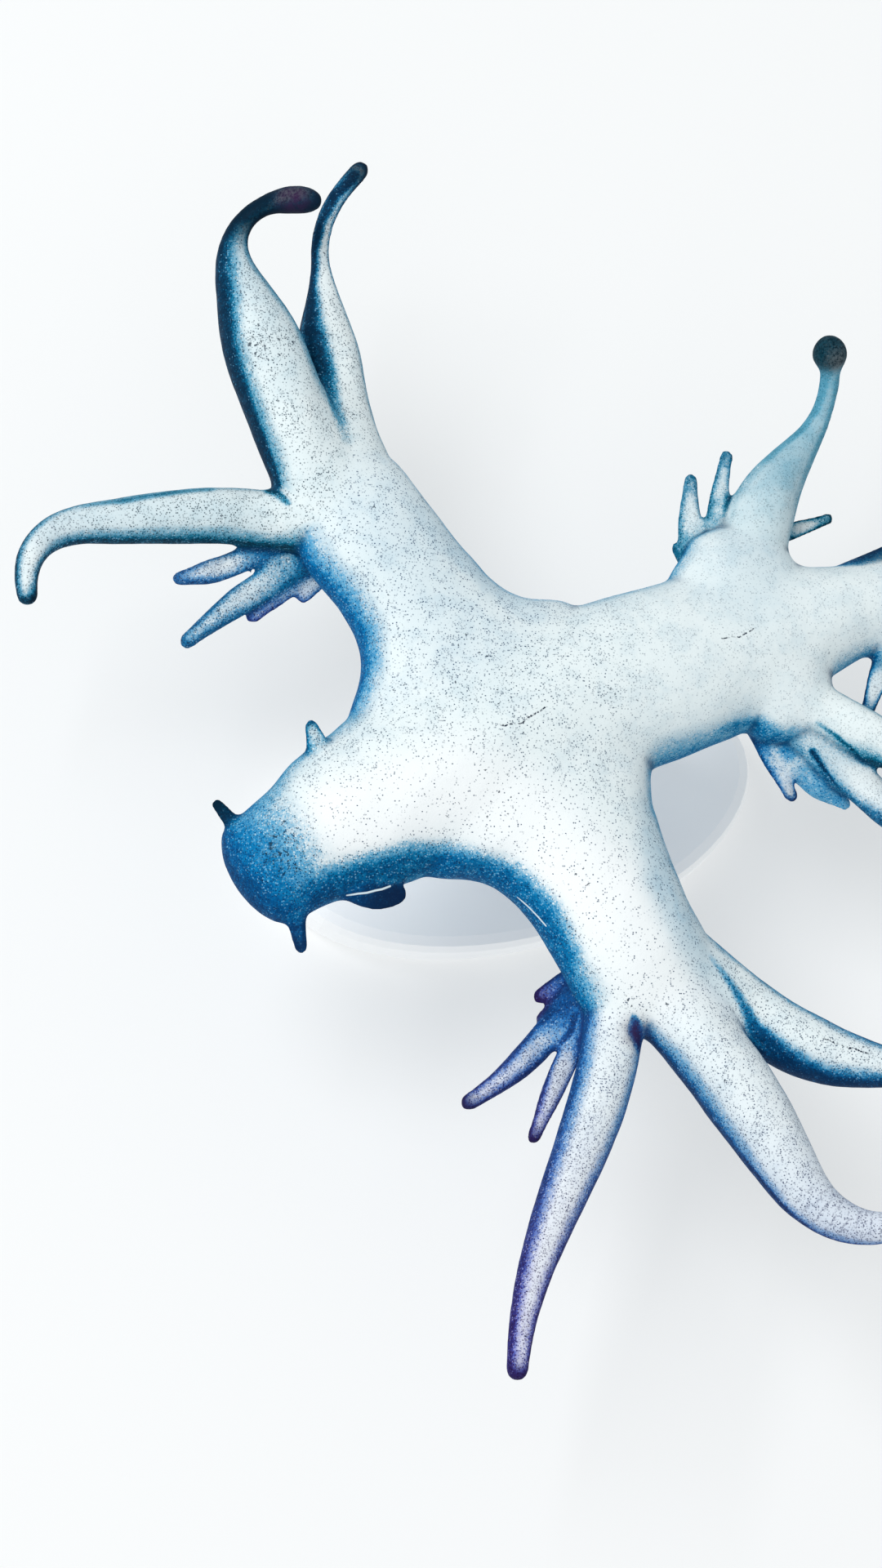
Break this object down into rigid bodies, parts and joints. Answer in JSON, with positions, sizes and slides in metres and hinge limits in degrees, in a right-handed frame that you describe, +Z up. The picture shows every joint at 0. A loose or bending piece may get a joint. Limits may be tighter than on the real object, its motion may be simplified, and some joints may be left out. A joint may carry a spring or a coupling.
{
  "type": "blue dragon sea slug model",
  "caption": "Still life-size model of a blue dragon sea slug with spread arms, fans of finger-like cerata and a slender tail, back up, on an oval stand with short rods.",
  "frame": {"origin": "centre of the underside of the stand's base, on the floor", "axes": "+Z up, the animal's back facing up; +X the way its tail points, +Y the way its right front arm points"},
  "size_m": [0.0498, 0.0451, 0.0161],
  "materials": {
    "skin_silver": "moist silvery white skin with blue edges and fine dark specks",
    "skin_blue": "moist pale blue skin with dark blue edges and fine dark specks",
    "skin_dark_blue": "moist dark blue skin",
    "stand": "plain white, satin"
  },
  "bodies": {
    "root": {"arm_front_left": "skin_silver", "arm_front_right": "skin_silver", "arm_middle_left": "skin_silver", "arm_middle_right": "skin_silver", "arm_rear_left": "skin_silver", "arm_rear_right": "skin_silver", "ceras_front_left_1": "skin_blue", "ceras_front_left_1_tip": "skin_dark_blue", "ceras_front_left_2": "skin_blue", "ceras_front_left_2_tip": "skin_dark_blue", "ceras_front_left_3": "skin_blue", "ceras_front_left_3_tip": "skin_dark_blue", "ceras_front_right_1": "skin_blue", "ceras_front_right_1_tip": "skin_dark_blue", "ceras_front_right_2": "skin_blue", "ceras_front_right_2_tip": "skin_dark_blue", "ceras_front_right_3": "skin_blue", "ceras_front_right_3_tip": "skin_dark_blue", "ceras_middle_left_1": "skin_blue", "ceras_middle_left_2": "skin_blue", "ceras_middle_right_2": "skin_blue", "ceras_rear_left_1": "skin_blue", "ceras_rear_right_1": "skin_blue", "head": "skin_silver", "oral_tentacle_left": "skin_dark_blue", "oral_tentacle_right": "skin_dark_blue", "rhinophore_left": "skin_dark_blue", "rhinophore_right": "skin_dark_blue", "stand_base": "stand", "stand_rod_front": "stand", "stand_rod_rear": "stand", "tail_1": "skin_silver", "tail_2": "skin_silver", "tail_3": "skin_silver", "trunk_front": "skin_silver", "trunk_middle": "skin_silver", "trunk_rear": "skin_silver"}
  },
  "joints": []
}
